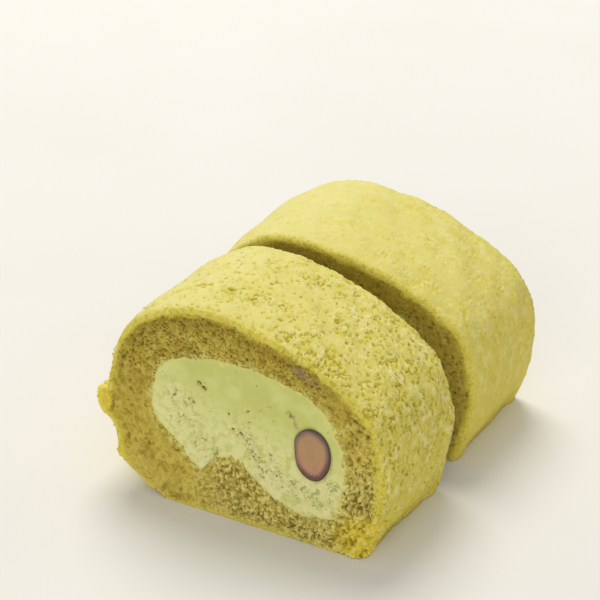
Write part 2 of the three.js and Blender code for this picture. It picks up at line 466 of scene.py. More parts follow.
# The relief of sponge: lumps and grain all over, pits in the skin, pores and crumbling in the cuts, ragged
# rims and a torn lower corner.
def buildSpongeReliefTree():
    maker, given = newGeometryTree("sponge relief", reliefForm)
    mesh, frontShare = given["Geometry"], given["Front Share"]
    place = maker.place()
    broad, calm, lump, grain, patchy, crumble, rag, ledgeLump, ledgeGrain = maker.noises(place, reliefGrain)
    warped = maker.moved(place, maker.scaled(maker.stray(place, 1.6), 1.4))
    knead, shreds = maker.noises(warped, warpedGrain)
    broad = broad - 0.5
    x, y, z = maker.split(place)
    below, reach = maker.read("below"), maker.read("reach")
    cut = below.ease(0.1, 0.9)
    isSkin = (below < 0.05) * (z > 1.0)
    isCut = (below > 0.4) * (reach < 0.01)
    isFront = frontShare * y.ease(8.0, 2.0)

    # More pores show above the cream, at its right and in the loose crumb under it, on the front cut.
    loose = (z - x.ease(17.0, 21.0) * 3).ease(16.0, 10.0)
    loose = (x + broad * 8).ease(-13.0, -2.0) * loose
    above = (z - x * 0.12 + broad * 6).ease(26.0, 33.0)
    frontCrowd = loose.highest(above).highest(x.ease(20.0, 23.0) * 0.7)
    crowd = maker.between(isFront, broad.ease(-0.16, 0.16) * 0.8, frontCrowd)

    # The rear slice was touched less: its pits are fewer and shallower.
    fewer = 0.4 + 0.6 * frontShare
    large = pitHollow(maker, mesh, isSkin, pitForm["large"]) * (0.35 + 0.65 * frontShare)
    small = pitHollow(maker, mesh, isSkin * fewer, pitForm["small"]) * fewer
    pores = pitHollow(maker, mesh, isCut * (0.12 + crowd), pitForm["pores"])

    # Patches of smoother and rougher skin, rougher down the right side.
    worn = x.ease(-8.0, 16.0) * 0.2 + z.ease(42.0, 30.0) * 0.08
    worn = worn - z.ease(18.0, 6.0) * 0.14
    rough = (calm + worn).ease(0.5, 0.74) * (0.4 + 0.6 * frontShare)
    grain = (grain - 0.5) * given["Grain Height"] * (0.5 + rough)
    patchy = patchy.ease(0.4, 0.62)
    pill = (0.45 - maker.cells(warped, 1.25)) * given["Pill Height"] * rough * patchy
    knead = (knead - 0.5) * given["Knead Height"] * rough
    drawn = maker.stretched(maker.read("rolled", "FLOAT_VECTOR"), (0.5, 0.5, 1.0))
    fold = 1 - (maker.noise(drawn, *foldGrain) - 0.5).size() * 2
    fissure = fold.ease(0.95, 0.99) * (0.15 + rough) * patchy.ease(0.2, 0.7)
    small = small * given["Small Pit Depth"] * (1.0 + 0.3 * rough)
    skinHollow = (large * given["Large Pit Depth"]).highest(small)
    skinHollow = skinHollow.highest(fissure * given["Fissure Depth"]) * (1 - cut)
    cutHollow = pores * given["Pore Depth"] * cut

    coarse = (0.45 - maker.cells(warped, 0.8)) * 0.9 + (crumble - 0.5) * 1.1
    crumble = (0.15 + 0.85 * loose) * isFront * cut * below.ease(0.5, 2.0)
    crumb = coarse * given["Crumble Height"] * crumble
    nearRim = (1 - (below + reach).ease(0.1, 1.5)) * x.ease(-34.0, -10.0)  # cleaner at the left
    rag = (rag - 0.56) * given["Rag Height"] * nearRim
    torn, bump, ledge, fleck = (nearSpot(maker, place, *spot) * frontShare for spot in reliefSpots.values())
    shreds = (shreds - 0.5) * 2.2 + (0.4 - maker.cells(warped, 0.9)) * 0.4
    tear = shreds * given["Tear Height"] * torn
    dip = (1 - maker.read("inside").ease(0.0, 1.7)) * given["Dip Depth"] * (reach < 0.01)
    lump = (lump - 0.5) * given["Lump Height"] + ledge * ((ledgeLump - 0.35) * 1.5 + (ledgeGrain - 0.5) * 0.9)

    height = (lump + pill + knead) * (1 - 0.7 * cut) + grain + crumb + rag + tear + bump + fleck
    height = height - skinHollow - cutHollow - dip
    swell = (pill * 1.5 + knead) * (1 - cut) + grain * 1.2 + crumb * 0.9 + tear * 0.7 + rag * 0.6
    # raised and hollow also steer the painted highlights and painted shade in the sponge's colour
    kept = {
        "hollow": (skinHollow + cutHollow - (rag + tear + crumb) * 0.7).held(),
        "raised": 0.5 + swell,
        "loose": loose * isFront,
        "fleck": fleck,
        "torn": torn.highest(bump * 0.5).highest(ledge * 0.55),
        "crowd": crowd,
        "rough": rough,
    }
    for name, value in kept.items():
        mesh = maker.store(mesh, name, value)
    return endGeometryTree(maker, given, maker.raised(mesh, place, height))


def nearSpot(maker, place, point, inner, outer):  # 1 within the inner distance, 0 past the outer one
    away = maker.vectorMaths("SUBTRACT", place, point)["Vector"]
    return 1 - maker.length(away).ease(inner, outer)


creamRelief = {"Lump Height": 0.35, "Grain Height": 0.16, "Drag Height": 0.6, "Pit Depth": 0.3,
               "Edge Depth": 0.35, "Front Share": 1.0}
creamReliefGrain = {  # the size of each noise in mm, then its detail and roughness
    "patches": (7.0,), "sway": (3.0,), "lump": (6.5, 1.5), "grain": (1.6, 3.0), "crack": (1.3, 3.0, 0.6),
}
# Each patch or mark: its middle across and up the cut, its half length, half width and turn, and its depth.
dragPatches = [((-12.5, 19.5), 6.0, 3.4, -1.0), ((-8.5, 14.0), 4.4, 3.4, -0.5), ((0.5, 18.5), 5.0, 2.2, -1.0),
               ((5.5, 14.0), 6.0, 4.2, -0.6), ((12.0, 10.5), 6.5, 3.4, -0.2), ((-15.0, 24.0), 4.0, 2.2, -0.5),
               ((19.0, 12.0), 4.2, 3.4, 1.2)]
beanMargin = 0.25            # mm of cream round the bean that lie lower than the rest
beanSink = 0.3


# Cream under a knife: soft lumps, fine grain, rough patches where it dragged, and pits.
def buildCreamReliefTree():
    maker, given = newGeometryTree("cream relief", creamRelief)
    mesh = given["Geometry"]
    place = maker.place()
    x, y, z = maker.split(place)
    below, reach = maker.read("below"), maker.read("reach")
    patches, sway, lump, grain, crack = maker.noises(place, creamReliefGrain)
    onCut = reach < 0.01
    isFront = (y < 8.0) * given["Front Share"]
    flat = maker.moved(maker.join(x, z, 0.0), maker.scaled(maker.stray(place, 3.0), 3.0))
    drag = sum((1 - patchReach(maker, flat, patch).ease(0.5, 1.1) for patch in dragPatches), 0.0).held()
    drag = (drag * isFront).highest(patches.ease(0.56, 0.68) * (1 - isFront) * 0.7)

    # The specks lie along torn lines that run down to the right, with fewer of them under the bean.
    across = (x * 0.8 + z * 0.6) / 2.6 + (sway - 0.5) * 1.2
    along = (x * 0.6 - z * 0.8) / 8
    ridge = 1 - (maker.noise(maker.join(across, along, 0.0), 1.0, 1.0) - 0.5).size() * 2
    line = ridge.ease(0.86, 0.97)
    share = line * (1.6 - x.ease(9.0, 13.0)) + 0.01
    bubbles = pitHollow(maker, mesh, onCut * (below > 1.5), pitForm["bubbles"])
    specks = pitHollow(maker, mesh, onCut * (drag > 0.2) * (below > 1.0) * share, pitForm["specks"])
    pits = bubbles.highest(specks * drag.ease(0.1, 0.5))

    crack = (crack - 0.5) * given["Drag Height"] * drag
    sunk = (1 - below.ease(0.0, 1.7)) * given["Edge Depth"]
    oval = ((bean["x"], bean["z"]), bean["tall"] / 2 + beanMargin, bean["across"] / 2 + beanMargin,
            math.pi / 2 - bean["tilt"])
    nearBean = (1 - patchReach(maker, maker.join(x, z, 0.0), oval).ease(0.98, 1.1)) * isFront
    height = (lump - 0.5) * given["Lump Height"] + (grain - 0.5) * given["Grain Height"] + crack
    height = (height - pits * given["Pit Depth"] - sunk) * (1 - nearBean) * onCut - nearBean * beanSink
    kept = {"drag": drag, "line": line * drag, "hollow": (pits - crack * 1.5).held()}
    for name, value in kept.items():
        mesh = maker.store(mesh, name, value)
    return endGeometryTree(maker, given, maker.raised(mesh, place, height))


# How far out of a long oval patch a point is: 0 in its middle, 1 at its edge.
def patchReach(maker, flat, patch):
    (x, z), long, wide, angle = patch
    away = maker.vectorMaths("SUBTRACT", flat, (x, z, 0.0))["Vector"]
    axes = ((math.cos(angle) / long, math.sin(angle) / long, 0.0),
            (-math.sin(angle) / wide, math.cos(angle) / wide, 0.0))
    along, over = (maker.vectorMaths("DOT_PRODUCT", away, axis)["Value"] for axis in axes)
    return maker.length(maker.join(along, over, 0.0))


frontMarks = {  # of each layer: marks are pressed in, stains only colour it
    "sponge": {
        "mark": [((26.0, 11.0), 1.6, 0.45, 1.2, 1.1), ((21.9, 21.0), 0.9, 0.35, 1.4, 0.9),
                 ((22.7, 19.0), 0.7, 0.35, 1.5, 0.9), ((-30.2, 17.6), 2.0, 0.35, 1.5, 0.9),
                 ((2.2, 10.8), 0.9, 0.5, -0.6, 0.8), ((0.6, 12.2), 0.5, 0.35, 0.3, 0.6),
                 ((-22.0, 29.5), 0.5, 0.25, 0.2, 0.5), ((-21.4, 28.0), 0.5, 0.25, -0.2, 0.5)],
        "stain": [((12.3, 35.6), 2.4, 1.1, -0.5, 0.8), ((15.0, 34.1), 1.4, 0.7, -0.4, 0.6)],
    },
    "cream": {
        "mark": [((-10.1, 27.2), 0.8, 0.42, -0.5, 0.8), ((-9.0, 26.7), 0.8, 0.42, -0.2, 0.8),
                 ((-15.8, 23.3), 0.5, 0.3, 0.4, 0.4), ((-11.2, 23.0), 0.5, 0.3, -0.5, 0.5),
                 ((-3.2, 22.8), 0.5, 0.25, -1.0, 0.45), ((1.0, 24.3), 0.6, 0.35, 0.1, 0.6),
                 ((1.4, 22.2), 0.35, 0.25, 0.5, 0.4), ((1.3, 21.0), 0.3, 0.22, 0.0, 0.35),
                 ((-2.3, 19.6), 0.6, 0.35, 0.0, 0.6), ((-0.3, 19.2), 0.45, 0.3, -0.7, 0.4),
                 ((6.4, 16.8), 0.6, 0.18, -0.1, 0.3), ((2.8, 14.9), 0.5, 0.22, -0.8, 0.35),
                 ((7.6, 12.6), 0.6, 0.2, -0.9, 0.35)],
        "stain": [((10.6, 26.3), 1.2, 0.6, -0.8, 0.9), ((11.8, 24.6), 1.9, 0.6, -1.2, 0.5)],
    },
}
markEdge = {"seed": 5, "detail": 1.4, "stray": 0.45, "end": 1.15, "soft": 0.9}  # uneven and soft edges


# Single marks on the front cut.
def markCut(mesh, name, marks):
    places = np.empty(len(mesh.vertices) * 3)
    mesh.vertices.foreach_get("co", places)
    places = places.reshape(-1, 3)
    onCut = places[:, 1] < 5
    ownMarks = np.zeros(len(places))
    noise.seed_set(markEdge["seed"])
    stray = [noise.noise_vector(Vector(place) * markEdge["detail"])[:2] for place in places]
    stray = np.array(stray) * markEdge["stray"]
    for (x, z), long, wide, angle, strength in marks:
        away = places[:, [0, 2]] - (x, z) + stray
        along = (away[:, 0] * math.cos(angle) + away[:, 1] * math.sin(angle)) / long
        over = (away[:, 1] * math.cos(angle) - away[:, 0] * math.sin(angle)) / wide
        inside = np.clip((markEdge["end"] - np.hypot(along, over)) / markEdge["soft"], 0, 1) * onCut
        inside = inside * inside * (3 - 2 * inside)
        if name == "mark":
            places[:, 1] += strength * inside
            ownMarks = np.maximum(ownMarks, inside)
        else:
            ownMarks = np.maximum(ownMarks, inside * strength)
    mesh.vertices.foreach_set("co", places.ravel())
    mesh.attributes.new(name, "FLOAT", "POINT").data.foreach_set("value", ownMarks)


bean = {
    "x": 15.6, "z": 19.2, "across": 7.8, "deep": 7.2, "tall": 10.7, "taper": 0.03,
    "tilt": -0.09, "dome": 0.22, "proud": 0.12, "lip": 0.12,
    "lipFrom": 0.84, "lipRise": 0.09, "lipFall": 0.05,  # where its lip starts, and how fast it comes and goes
    "sides": (0.02, 0.7), "corners": (0.012, 2.0), "square": 0.05, "ripple": 0.035,
    "seed": 3, "around": 120, "capRings": 26, "backRings": 20,
}


# The bean: a cap cut flat with the slice, with its skin standing as a lip round it, and a rounded back.
def buildBean():
    around = np.arange(bean["around"]) / bean["around"] * 2 * math.pi
    shares = np.arange(1, bean["capRings"] + 1) / bean["capRings"]
    backTurns = np.arange(1, bean["backRings"]) / bean["backRings"] * math.pi / 2
    rng = np.random.default_rng(bean["seed"])
    waves = rng.normal(0, 1, (7, 4))
    rings = [(share, 0.0) for share in shares] + [(math.cos(turn), math.sin(turn)) for turn in backTurns]
    (sides, sidesPhase), (corners, cornersPhase) = bean["sides"], bean["corners"]
    uneven = 1 + sides * np.sin(3 * around + sidesPhase) + corners * np.sin(5 * around + cornersPhase)
    lean = sliceForms["front"]["Lean"]
    points, lips = [], []
    for out, back in rings:
        up, side = out * np.sin(around), out * np.cos(around)
        width = (1 + bean["taper"] * up) * uneven
        width = width * (1 + bean["square"] * np.sin(2 * around) ** 2)
        x = side * width * bean["across"] / 2
        z = up * bean["tall"] / 2
        y = back * width * bean["deep"] / 2
        lip = np.ones(len(around))
        if back == 0:
            rise = np.clip((out - bean["lipFrom"]) / bean["lipRise"], 0, 1)
            ring = rise * np.clip((1.0 - out) / bean["lipFall"], 0, 1)
            ripple = sum(height * np.sin(a * x + b * z + c) for a, b, c, height in waves) * bean["ripple"]
            y = y - bean["dome"] * (1 - out ** 2) - bean["lip"] * ring + ripple * (1 - out ** 4)
            lip = lip * out
        points.append(np.stack([x, y + lean * z, z], 1))
        lips.append(lip)
    points = np.vstack([*points, (0, -bean["dome"], 0), (0, bean["deep"] / 2, 0)])
    lips = np.concatenate([*lips, [0, 1]])
    count, columns = len(rings), bean["around"]
    faces = []
    for i in range(columns):
        j = (i + 1) % columns
        faces.append((count * columns, i, j))
        faces.append((count * columns + 1, (count - 1) * columns + j, (count - 1) * columns + i))
        for row in range(0, (count - 1) * columns, columns):
            faces.append((row + i, row + columns + i, row + columns + j, row + j))
    tilt = Matrix.Rotation(bean["tilt"], 4, "Y")
    place = Matrix.Translation((bean["x"], lean * bean["z"] - bean["proud"], bean["z"]))
    mesh = bpy.data.meshes.new("bean")
    mesh.from_pydata(points.tolist(), [], faces)
    mesh.attributes.new("lip", "FLOAT", "POINT").data.foreach_set("value", lips)
    mesh.transform(place @ tilt)
    return mesh


crumbForm = {"Low Per Area": 0.9, "Rim Per Area": 0.25, "Cut Per Area": 0.02, "Skin Per Area": 0.004,
             "Smallest": 0.12, "Largest": 0.5, "Seed": 9}
crumbShape = {"Min": (0.7, 0.7, 0.6), "Max": (1.3, 1.1, 1.0)}
crumbTurn = {"Min": (0.0, 0.0, 0.0), "Max": (6.28, 6.28, 6.28)}


# Crumbs that the knife left on the front cut, on its rim and beside it on the skin.
def buildCrumbTree():
    maker, given = newGeometryTree("crumbs", crumbForm)
    x, y, z = maker.split(maker.place())
    below, reach = maker.read("below"), maker.read("reach")
    onCut = (reach < 0.5) * (y < 10.0)
    low = z.ease(15.0, 8.0) * x.ease(-12.0, 0.0) * (z > 1.2)
    near = 1 - below.ease(0.3, 1.5)
    density = onCut * (low * given["Low Per Area"] + near * given["Rim Per Area"] + given["Cut Per Area"])
    density = density + (below < 0.05) * (z > 1.5) * given["Skin Per Area"]
    points = maker.scattered(given["Geometry"], density, given["Seed"])
    ball = maker.add("GeometryNodeMeshIcoSphere", None, {"Radius": 1.0, "Subdivisions": 2})["Mesh"]
    ballPlace = maker.place()
    rough = (maker.noise(ballPlace, 1.1, 3.0, 0.6) - 0.5) * 0.9
    ball = maker.setPlace(ball, maker.scaled(ballPlace, rough + 1))
    size = given["Smallest"] + (given["Largest"] - given["Smallest"]) * maker.drawn(5) ** 3
    turned = maker.drawn(6, "FLOAT_VECTOR", **crumbTurn)
    scale = maker.scaled(maker.drawn(7, "FLOAT_VECTOR", **crumbShape), size)
    values = {"Points": points, "Instance": ball, "Rotation": turned, "Scale": scale}
    crumbs = maker.add("GeometryNodeInstanceOnPoints", None, values)["Instances"]
    return endGeometryTree(maker, given, crumbs)


# A material whose colour, roughness and bump come from a look; what is alike all over is set here.
def newMaterial(name, look, constants):
    material = bpy.data.materials.new(name)
    material.use_nodes = True
    material.node_tree.nodes.clear()
    maker = Maker(material.node_tree)
    place = maker.scaled(maker.add("ShaderNodeTexCoord")["Object"], 1000.0)
    colour, roughness, height = look(maker, place)
    values = {"Strength": 1.0, "Distance": 0.001, "Height": height}
    bump = maker.add("ShaderNodeBump", None, values)["Normal"]
    values = {"Base Color": colour, "Roughness": roughness, "Normal": bump, **constants}
    shader = maker.add("ShaderNodeBsdfPrincipled", None, values)["BSDF"]
    maker.add("ShaderNodeOutputMaterial", None, {"Surface": shader})
    return material


# Small round holes with uneven edges. More of them open, and wider, where crowd is higher.
def poreMask(maker, vector, size, crowd):
    stray = maker.scaled(maker.stray(vector, size * 0.7), size * 1.1)
    values = {"Vector": maker.moved(vector, stray), "Scale": 1 / size}
    cell = maker.add("ShaderNodeTexVoronoi", {"feature": "F1"}, values)
    drawn, _, _ = maker.split(cell["Color"])
    radius = (drawn + crowd - 0.8).held() * 0.5 + 0.01
    return 1 - (cell["Distance"] / radius).ease(0.6, 1.15)


spongeColours = {
    "topSkin": paint(225, 213, 124), "sideSkin": paint(222, 204, 98), "skinPatch": paint(214, 204, 106),
    "skinYellow": paint(226, 208, 66), "skinPit": paint(186, 168, 26), "skinGreen": paint(204, 197, 82),
    "skinDeep": paint(150, 130, 16), "scorched": paint(190, 140, 30),
    "crumb": paint(188, 166, 60), "crumbLow": paint(214, 194, 88), "crumbDark": paint(146, 122, 28),
    "crumbPale": paint(233, 219, 126), "pore": paint(112, 90, 16), "rim": paint(224, 207, 80),
    "torn": paint(250, 225, 72), "pale": paint(234, 226, 154), "stain": paint(160, 132, 112),
    "fleck": paint(240, 234, 190), "smear": paint(214, 217, 134),
}
spongeGrain = {  # the size of each noise in mm, then its detail and roughness
    "broad": (7.0,), "middle": (2.2, 3.0, 0.55), "fine": (0.6, 3.0, 0.6), "grit": (0.42,),
    "mottle": (2.6, 4.0, 0.7), "clump": (1.5, 4.0, 0.7),
}
spongeConstants = {"Subsurface Weight": 0.12, "Subsurface Radius": (1.0, 0.8, 0.3),
                   "Subsurface Scale": 0.0015, "Specular IOR Level": 0.2}


# Sponge: pale skin with olive pits, a deeper yellow rim, and a khaki crumb full of pores at the cuts, with
# painted light and shade laid on both.
def spongeLook(maker, place):
    below, reach, inside, hollow, rough = map(maker.value, ("below", "reach", "inside", "hollow", "rough"))
    torn, crowd, raised, loose = map(maker.value, ("torn", "crowd", "raised", "loose"))
    mark, stain, fleck = map(maker.value, ("mark", "stain", "fleck"))
    x, y, z = maker.split(place)
    drawn = maker.stretched(maker.value("rolled", "Vector"), (0.7, 0.7, 1.0))
    broad, middle, fine, grit, mottle, clump = maker.noises(place, spongeGrain)
    isFront = y < 2.0  # the gap between the slices is near y = 0

    # painted light: the skin is paler towards the top of the roll, where the light falls, than down its sides
    topLightShare = (z + (broad - 0.5) * 14).ease(18.0, 42.0)
    # yellow patches of the skin's own tone, and painted warm bounce light low on the sides near the floor
    warmAndBounce = (middle.ease(0.52, 0.68) * (0.15 + 0.3 * rough)).highest(z.ease(16.0, 3.0) * 0.5)
    # painted shade: the low parts of the skin's relief
    low = 1 - raised.ease(0.3, 0.52)
    skinPores = poreMask(maker, place, 1.4, rough * 0.25 + 0.02 + isFront * 0.3)
    skinPores = skinPores.highest(poreMask(maker, place, 0.6, rough * 0.4) * 0.7)
    # the pits' colours: the skin's own olive pits, and painted shade where they follow the relief's hollows
    skinHole = skinPores.highest((hollow * 2.0).held())
    skin = maker.coats(spongeColours["sideSkin"], spongeColours, [
        (topLightShare, "topSkin"),
        (broad.ease(0.42, 0.66) * 0.4, "skinPatch"),
        # painted light: the top of the skin is paler towards the left, nearer the light
        (topLightShare * x.ease(2.0, -14.0) * 0.5, "pale"),
        (mottle.ease(0.5, 0.6) * (0.2 + 0.6 * rough), "pale"),
        (mottle.ease(0.49, 0.39) * (0.15 + 0.5 * rough), "skinGreen"),
        (warmAndBounce, "skinYellow"),
        (poreMask(maker, place, 2.0, 0.4) * 0.5, "skinGreen"),
        # painted shade in the relief's lows, then painted highlights on its raised tops
        (low * rough * 0.3, "skinGreen"),
        (raised.ease(0.54, 0.76) * (0.2 + 0.5 * rough), "pale"),
        (skinHole.ease(0.02, 0.3) * 0.6, "skinYellow"),
        (skinHole.ease(0.2, 0.7) * 0.75, "skinPit"),
        (skinHole.ease(0.7, 1.0) * 0.4, "skinDeep"),
    ])

    shade = (z - x * 0.5 + (broad - 0.5) * 16).ease(2.0, 38.0)  # painted shade: darker towards the upper left, lighter towards the lower right
    rightOfCream = x.ease(17.0, 21.0) * z.ease(24.0, 16.0)
    # painted shade: the cut is darker just under the top rim and where the two slices face each other across
    # the gap
    shadeUnderRim = below.ease(5.5, 1.2) * z.ease(26.0, 36.0)
    shadeInGap = y.size().ease(9.0, 5.0) * 0.65
    hole = poreMask(maker, drawn, 0.62, crowd * 0.5 + 0.06)
    hole = hole.highest(poreMask(maker, drawn, 1.15, crowd * 0.45))
    # painted shade: the gaps between raised crumbs, most in the loose crumb
    deep = (1 - raised.ease(0.04, 0.32)) * (0.15 + 0.85 * loose)
    smeared = (fine * 0.6 + clump * 0.4 - (inside - 1.2) * 0.05).ease(0.46, 0.52)
    smeared = smeared * inside.ease(4.0, 2.0) * (0.35 + 0.35 * x.ease(4.0, -8.0))
    # the lit crumb colour lies at the lower right, the shaded crumb colour towards the upper left
    crumb = maker.coats(spongeColours["crumbLow"], spongeColours, [
        (shade, "crumb"),
        (broad.ease(0.56, 0.38) * 0.35, "crumbDark"),
        (middle.ease(0.5, 0.7) * 0.35, "crumbPale"),
        (rightOfCream * 0.3, "crumbPale"),
        (loose * 0.4, "crumbPale"),
        (clump.ease(0.48, 0.4) * 0.6 * (1 - loose), "crumbDark"),
        (clump.ease(0.53, 0.62) * (0.25 + 0.25 * loose), "crumbPale"),
        (shadeUnderRim.highest(shadeInGap) * 0.75, "crumbDark"),
        (fine.ease(0.52, 0.36) * (0.3 + 0.4 * crowd), "crumbDark"),
        (poreMask(maker, drawn, 1.7, 0.45) * 0.6, "crumbDark"),
        (grit.ease(0.54, 0.7) * (0.2 + 0.2 * crowd + 0.3 * loose), "crumbPale"),
        (grit.ease(0.46, 0.36) * loose * 0.5, "pore"),
        # painted highlight on the raised crumbs
        (raised.ease(0.44, 0.68) * (0.15 + 0.85 * loose), "crumbPale"),
        # pore colour: the pores' own dark tone, and painted shade in the relief's hollows and crumb gaps
        (hole.highest((hollow * 2.0).held()).highest(deep * 0.7) * 0.8, "pore"),
        (smeared, "smear"),  # cream dragged over the crumb at its border
    ])

    isCut = (below + (fine - 0.5) * 1.2 + (middle - 0.5)).ease(0.25, 0.75)
    # the rim's own deeper yellow, laid brighter than it is as painted light where its roll catches the light,
    # and duller near the base as painted shade
    rim = 1 - (below + reach + (middle - 0.5) * 3 + (fine - 0.5) * 2).ease(0.3, 1.5)
    rim = rim * (0.35 + 0.65 * z.ease(1.0, 5.0)) * (0.45 + 0.55 * below.ease(-1.0, 0.3))
    scorched = poreMask(maker, place, 1.6, 0.2) * below.size().ease(2.5, 1.0)
    scorched = scorched * x.ease(6.0, 12.0) * (reach < 2.0) * isFront
    # crag: the height of the torn corner's relief, which steers its painted shade and highlights
    crag = raised + (fine - 0.5)
    colour = maker.coats(maker.blend(isCut, skin, crumb), spongeColours, [
        (rim * 0.75, "rim"),
        (rim * fine.ease(0.5, 0.36) * 0.6, "skinPit"),
        (scorched * 0.6, "scorched"),
        (torn * (0.6 + 0.3 * clump.ease(0.44, 0.56)), "torn"),
        # painted shade in the torn corner's low crags and painted highlights on its high ones
        (torn * crag.ease(0.4, 0.1) * 0.8, "skinPit"),
        (torn * crag.ease(0.15, -0.2) * 0.7, "skinDeep"),
        (torn * crag.ease(0.5, 0.9) * 0.65, "pale"),
        (fine.ease(0.4, 0.75) * 0.2 * (1 - isCut), "pale"),
        (stain * (0.5 + 0.5 * fine.ease(0.4, 0.6)), "stain"),
        (mark * 0.8, "pore"),
        (fleck, "fleck"),
    ])
    height = fine * (0.14 + 0.1 * rough) + grit * 0.07 - skinHole * 0.1 * (1 - isCut) - hole * 0.14 * isCut
    return colour, 0.88 - 0.15 * middle, height


creamColours = {
    "deep": paint(203, 206, 114), "pale": paint(214, 217, 134), "dragged": paint(236, 231, 166),
    "froth": paint(240, 238, 178), "crack": paint(154, 148, 66), "pit": paint(96, 92, 32),
    "stain": paint(128, 102, 92), "edge": paint(233, 219, 126),
}
creamGrain = {"broad": (6.0,), "middle": (1.5, 3.0, 0.55), "fine": (0.42,)}
creamConstants = {"Subsurface Weight": 0.15, "Subsurface Radius": (1.0, 0.9, 0.5),
                  "Subsurface Scale": 0.002, "Specular IOR Level": 0.35}


# Cream: light green and smooth above, paler and frothy below and where the knife dragged it.
def creamLook(maker, place):
    below, hollow, drag, line = map(maker.value, ("below", "hollow", "drag", "line"))
    mark, stain = map(maker.value, ("mark", "stain"))
    x, _, z = maker.split(place)
    broad, middle, fine = maker.noises(place, creamGrain)
    frothy = (z + x * 0.2 + (broad - 0.5) * 14 + (middle - 0.5) * 4).ease(27.0, 18.0)
    frothy = frothy.highest((x + (middle - 0.5) * 6).ease(-13.0, -19.0)).highest(drag * 0.8)
    lowest = z.ease(17.0, 9.0)
    speck = (fine + (middle - 0.5) * 0.3).ease(0.46, 0.36) * (line * 0.9 + drag * 0.12)
    toSponge = 1 - (below + (middle - 0.5) * 3).ease(1.0, 2.2)
    torn = (mark + (fine - 0.5) * 2.4).ease(0.4, 0.7) * mark.ease(0.02, 0.2)
    colour = maker.coats(creamColours["deep"], creamColours, [
        (broad.ease(0.4, 0.62), "pale"),
        (frothy * (0.2 + 0.5 * middle.ease(0.4, 0.56)), "dragged"),
        (fine.ease(0.54, 0.66) * frothy * 0.5, "froth"),
        (lowest * (0.25 + 0.45 * broad.ease(0.4, 0.6)), "dragged"),
        (middle.ease(0.46, 0.34) * 0.35, "deep"),
        (toSponge * (0.3 + 0.5 * fine.ease(0.4, 0.56)), "edge"),
        # the crack colour: specks along the torn lines in their own tone, and painted shade in the hollows of
        # pits and cracks
        ((hollow * 1.1).held().highest(speck) * 0.75, "crack"),
        (torn * 0.9, "pit"),
        (stain * (0.35 + 0.65 * fine.ease(0.4, 0.56)), "stain"),
    ])
    return colour, 0.6 + 0.2 * frothy, fine * 0.06 * (0.4 + frothy) + middle * 0.1 - speck * 0.1


beanColours = {
    "flesh": paint(180, 138, 98), "warmFlesh": paint(190, 144, 96), "deepFlesh": paint(160, 118, 90),
    "topFlesh": paint(170, 140, 98), "blush": paint(186, 134, 108), "ring": paint(122, 98, 84),
    "skin": paint(92, 74, 66), "deepSkin": paint(84, 44, 38), "glint": paint(226, 200, 184),
}
beanGrain = {"broad": (3.0,), "fine": (0.6, 3.0, 0.6)}
beanConstants = {"Specular IOR Level": 0.5, "Coat Weight": 0.15, "Coat Roughness": 0.3}


# Bean: soft brown flesh that turns into a dark skin at its edge, reddish at the foot, glossier low on its
# skin and with painted glints there.
def beanLook(maker, place):
    x, _, z = maker.split(place)
    broad, fine = maker.noises(place, beanGrain)
    lip = maker.value("lip") + (broad - 0.5) * 0.12
    low = z.ease(20.0, 15.0)
    blush = (lip + (fine - 0.5) * 0.2).ease(0.45, 0.75) * (0.3 + 0.7 * low)
    ring = (lip + (fine - 0.5) * 0.12).ease(0.7, 0.9) * (1 - 0.4 * low * x.ease(17.0, 13.0))
    edge = (lip + (fine - 0.5) * 0.14).ease(0.87, 0.98)
    foot = (z - x * 0.4 + (fine - 0.5) * 3).ease(12.4, 9.0)
    # painted highlight: pale glints laid on the lower skin, which is also made glossier
    glossAndGlint = poreMask(maker, place, 0.55, 0.45) * z.ease(19.5, 16.5) * lip.ease(0.6, 0.8)
    colour = maker.coats(beanColours["flesh"], beanColours, [
        (broad.ease(0.38, 0.62), "warmFlesh"),
        (fine.ease(0.5, 0.7) * 0.3, "deepFlesh"),
        ((z + (broad - 0.5) * 4).ease(19.5, 23.5) * 0.7, "topFlesh"),
        (blush * 0.8, "blush"),
        (ring * 0.8, "ring"),
    ])
    colour = maker.blend(edge, colour, maker.blend(foot, beanColours["skin"], beanColours["deepSkin"]))
    colour = maker.coats(colour, beanColours, [
        (foot * lip.ease(0.62, 0.86) * 0.7, "deepSkin"),
        (glossAndGlint * 0.75, "glint"),
    ])
    return colour, 0.5 - 0.12 * edge - 0.25 * glossAndGlint, fine * 0.12 + broad * 0.1 + glossAndGlint * 0.08


sliceForms = {
    "front": {"Depth": 33.6, "Lean": 0.061, "Skew": -0.107, "Wave Phase": 0.4,
              "shift": (0, 0), "turn": 0, "size": 1, "frontShare": 1.0, "columns": 610, "creamColumns": 440,
              "rows": {"Front Rows": 42, "Side Rows": 94, "Back Rows": 22, "Inner Rows": 2},
              "creamRows": {"Front Rows": 90, "Side Rows": 8, "Back Rows": 30, "Inner Rows": 1}},
    "rear": {"Depth": 33.0, "Lean": 0.0, "Skew": -0.053, "Wave Phase": 2.9,
             "shift": (-1.5, 40.6), "turn": math.radians(2), "size": 0.985, "frontShare": 0.0,
             "columns": 540, "creamColumns": 240,
             "rows": {"Front Rows": 26, "Side Rows": 84, "Back Rows": 32, "Inner Rows": 3},
             "creamRows": {"Front Rows": 30, "Side Rows": 12, "Back Rows": 44, "Inner Rows": 1}},
}


